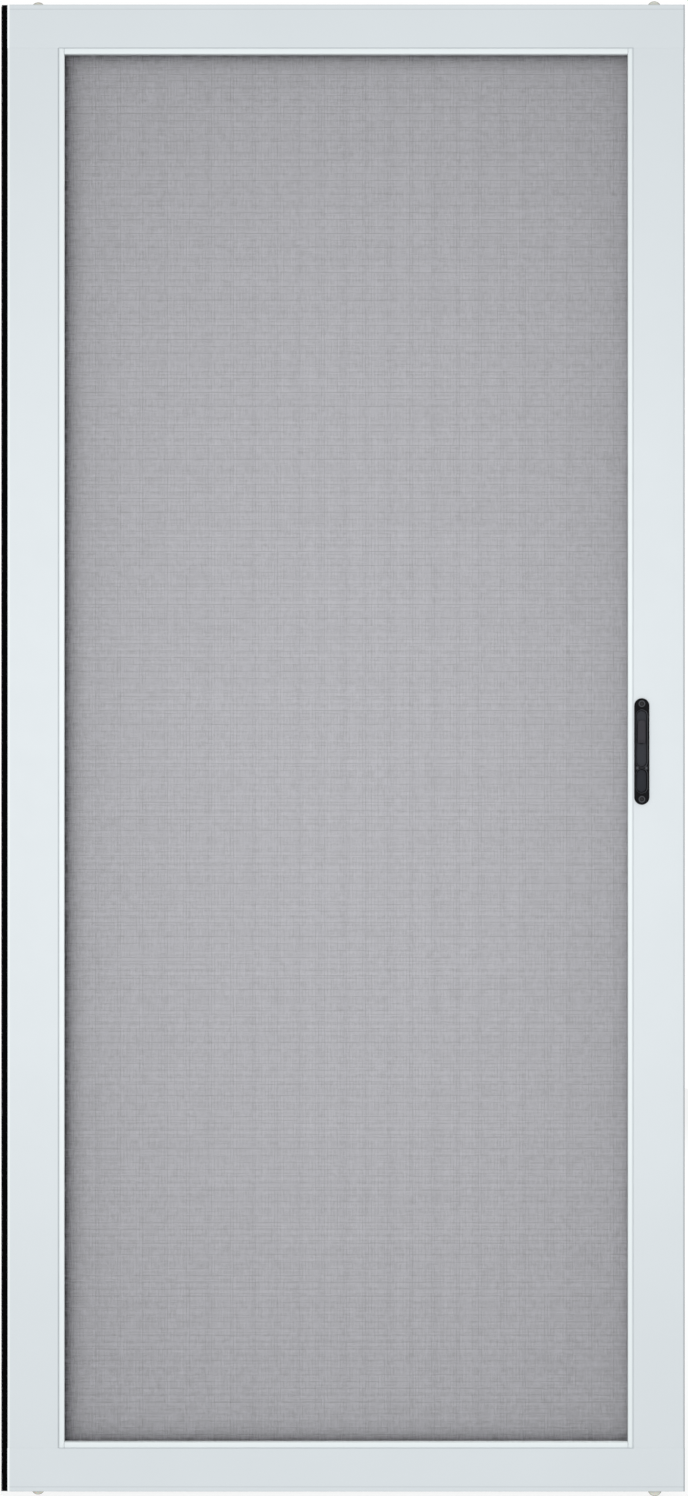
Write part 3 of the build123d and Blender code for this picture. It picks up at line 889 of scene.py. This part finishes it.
def copy_to(source, name, place, turn=0.0, facing=0.0):
    """A copy with its own mesh, turned about Y by turn, about Z by facing, and moved to its place."""
    copy = source.copy()
    copy.data = source.data.copy()
    copy.name = name
    bpy.context.scene.collection.objects.link(copy)
    copy.rotation_euler = (0, turn, facing)
    copy.location = place
    deselect()
    copy.select_set(True)
    bpy.context.view_layer.objects.active = copy
    bpy.ops.object.transform_apply(location=True, rotation=True, scale=True)
    deselect()
    return copy


pattern = screw_head("screw_pattern")

# %% [markdown]
# One head is copied to every hole. The slots of real screws never line up, so each copy is turned
# by its own angle.

# %% Set the screws
FACE_PLATE_SCREW_SPACING = 94 * MM
HEAD_SINK = 0.35 * MM

plate_low, plate_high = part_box("latch_face_plate")
inner_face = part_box("inner_pull")[1].y
turns = (0.4, 1.1, 0.75, 0.2, 0.95, 0.55)


def set_screws():
    """A screw at each end of the outer plate, the inner plate and the latch's face plate."""
    made = []
    latch_y = (plate_low.y + plate_high.y) / 2
    for side in (-1, 1):
        z = pull_z + side * SCREW_SPACING / 2
        latch_z = pull_z + side * FACE_PLATE_SCREW_SPACING / 2
        seats = (
            ("handle", (pull_x, pull_low.y + HEAD_SINK, z), 0),
            ("handle", (pull_x, inner_face - HEAD_SINK, z), math.pi),
            ("latch", (plate_high.x - HEAD_HEIGHT, latch_y, latch_z), math.pi / 2),
        )
        for carrier, place, facing in seats:
            name = f"{carrier}_screw_{len(made)}"
            made.append(copy_to(pattern, name, place, turns[len(made)], facing))
    for screw in made:
        wear_paint(screw, screw_steel if screw.name.startswith("latch") else screw_black)
    return made


screws = set_screws()
bpy.data.objects.remove(pattern)
print("screws:", len(screws))

# %% [markdown]
# Floor, board and light
#
# In the picture the door stands against white, and the mesh looks a middling grey: light passes the
# threads on its way in and once more on its way out. A white board close behind the leaf does the
# same. It is stage dressing, so some rays may pass it, and the Light Path node tells them apart: from
# behind, the camera looks through the board, and light from behind reaches what the camera sees.
#
# The frame's soft shadow on the board is painted, and so is a broad falloff of the light towards its
# rims. Each rim of the board is dark, and fades inwards over its own width.

# %% Paint the board
# Painted shadow: the narrow rims are the frame's shadow, the wide ones a painted falloff of light.
RIMS = (
    ("left", 1.0, 9.5 * MM),
    ("top", 0.62, 8 * MM),
    ("bottom", 0.60, 9 * MM),
    ("left", 0.14, 120 * MM),
    ("right", 0.17, 120 * MM),
    ("top", 0.13, 220 * MM),
    ("bottom", 0.13, 220 * MM),
)


def board_white():
    """White card that the camera sees from the front only: from behind it looks through it."""
    paint = Paint("board_white", Roughness=0.9, Specular_IOR_Level=0.0)
    back = paint.node("ShaderNodeNewGeometry")["Backfacing"]
    ray = paint.node("ShaderNodeLightPath")
    seen_from_behind = back * ray["Is Camera Ray"]
    lights_what_is_seen = ray["Is Shadow Ray"] * (ray["Diffuse Depth"] < 0.5)
    first_bounce = ray["Is Diffuse Ray"] * (ray["Diffuse Depth"] < 1.5)
    open_to = seen_from_behind + lights_what_is_seen + first_bounce
    x, y, z = paint.axes()
    inset = {
        "left": x + (door_width / 2 - STILE_WITH_BEAD),
        "right": (door_width / 2 - STILE_WITH_BEAD) - x,
        "top": (door_top - RAIL_WITH_BEAD) - z,
        "bottom": z - RAIL_WITH_BEAD,
    }
    shade = 1
    for side, depth, width in RIMS:
        faded = (inset[side] / -width).math("EXPONENT")
        shade = (1 - depth * faded) * shade
    paint.vary(Base_Color=paint.blend(shade, (0, 0, 0, 1), linear(252, 251, 255)))
    clear = paint.node("ShaderNodeBsdfTransparent")["BSDF"]
    card = Wire(paint, paint.shader.outputs["BSDF"])
    mixed = paint.node("ShaderNodeMixShader", values=[open_to, card, clear])
    paint.fill(paint.tree.nodes["Material Output"].inputs["Surface"], mixed["Shader"])
    return paint


# %% [markdown]
# The floor is nearly as white as the background and still shows the door's shadow. Only the camera
# and glossy or clear things see it, so the even light of the world also reaches the door from below.

# %% Set the stage
FLOOR_SIZE = 12.0
FLOOR_DROP = 0.5 * MM
FLOOR_WHITENESS = 0.8
BOARD_OVERLAP = 60.0 * MM
BOARD_SETBACK = 6.0 * MM


def floor_white():
    """Pale floor, nearly as white as the background, that lets the even light through from below."""
    pale = linear(250, 250, 250)
    paint = Paint("floor_white", Base_Color=pale, Roughness=0.9, Specular_IOR_Level=0.1)
    ray = paint.node("ShaderNodeLightPath")
    white = paint.node("ShaderNodeEmission")["Emission"]
    matt = Wire(paint, paint.shader.outputs["BSDF"])
    bright = paint.node("ShaderNodeMixShader", values=[FLOOR_WHITENESS, matt, white])["Shader"]
    clear = paint.node("ShaderNodeBsdfTransparent")["BSDF"]
    seen = ray["Is Camera Ray"] + ray["Is Glossy Ray"] + ray["Is Transmission Ray"]
    mixed = paint.node("ShaderNodeMixShader", values=[seen, clear, bright])
    paint.fill(paint.tree.nodes["Material Output"].inputs["Surface"], mixed["Shader"])
    return paint


def make_floor():
    deselect()
    bpy.ops.mesh.primitive_plane_add(size=FLOOR_SIZE, location=(0, 0, cad_box[0].z - FLOOR_DROP))
    floor = bpy.context.object
    floor.name = "floor"
    floor.data.materials.append(floor_white().material)
    return floor


def make_board():
    """A plane close behind the opening of the frame that faces the front."""
    width = cloth_high.x - cloth_low.x + 2 * BOARD_OVERLAP
    height = cloth_high.z - cloth_low.z + 2 * BOARD_OVERLAP
    centre = (cloth_low + cloth_high) / 2
    centre.y = rail_high.y + BOARD_SETBACK
    deselect()
    bpy.ops.mesh.primitive_plane_add(size=1, location=centre)
    board = bpy.context.object
    board.name = "white_board"
    board.scale = (width, height, 1)
    board.rotation_euler = (math.pi / 2, 0, 0)
    bpy.ops.object.transform_apply(location=True, rotation=True, scale=True)
    board.data.materials.append(board_white().material)
    return board


print("stage:", make_floor().name, "and", make_board().name)

# %% [markdown]
# The light is one large soft lamp in front of the door, a little left of its middle and at the height
# of the handle, so that both rails fall off a little. A second one behind the door lights its back.
# The world adds a dim even light. It is white only to rays from the camera and from glossy or clear
# things, so that the background is white and the paint isn't flooded with light.

# %% Light the stage
KEY_PLACE = (-0.1, -3.3, 1.0)
KEY_AIM = (0.0, 0.0, 1.0)
KEY_SIZE = (2.0, 1.8)
KEY_POWER = 61.0
BACK_PLACE = (1.0, 4.0, 2.6)
BACK_SIZE = (2.6, 2.6)
BACK_POWER = 90.0
WORLD_LEVEL = 0.58
SKY_TINT = (0.97, 0.99, 1.0, 1.0)


def lamp(name, place, aim, size, power):
    data = bpy.data.lights.new(name, "AREA")
    data.shape = "RECTANGLE"
    data.size, data.size_y = size
    data.energy = power
    light = bpy.data.objects.new(name, data)
    light.location = place
    light.visible_camera = False
    light.rotation_euler = (Vector(aim) - Vector(place)).to_track_quat("-Z", "Y").to_euler()
    bpy.context.scene.collection.objects.link(light)
    return light


lamp("key", KEY_PLACE, KEY_AIM, KEY_SIZE, KEY_POWER)
lamp("back", BACK_PLACE, door_middle, BACK_SIZE, BACK_POWER)


def light_the_world():
    """An even dim sky that the camera and all that is glossy or clear see as plain white."""
    world = bpy.data.worlds.new("studio")
    bpy.context.scene.world = world
    world.use_nodes = True
    sky = Wiring(world.node_tree)
    ray = sky.node("ShaderNodeLightPath")
    seen = ray["Is Camera Ray"] + ray["Is Glossy Ray"] + ray["Is Transmission Ray"]
    seen = seen.math("MINIMUM", 1)
    background = sky.tree.nodes["Background"]
    sky.fill(background.inputs["Strength"], WORLD_LEVEL + (1 - WORLD_LEVEL) * seen)
    sky.fill(background.inputs["Color"], sky.blend(seen, SKY_TINT, (1, 1, 1, 1)))


light_the_world()
bpy.context.scene.view_settings.view_transform = "Standard"
print("key", KEY_POWER, "W, back", BACK_POWER, "W")
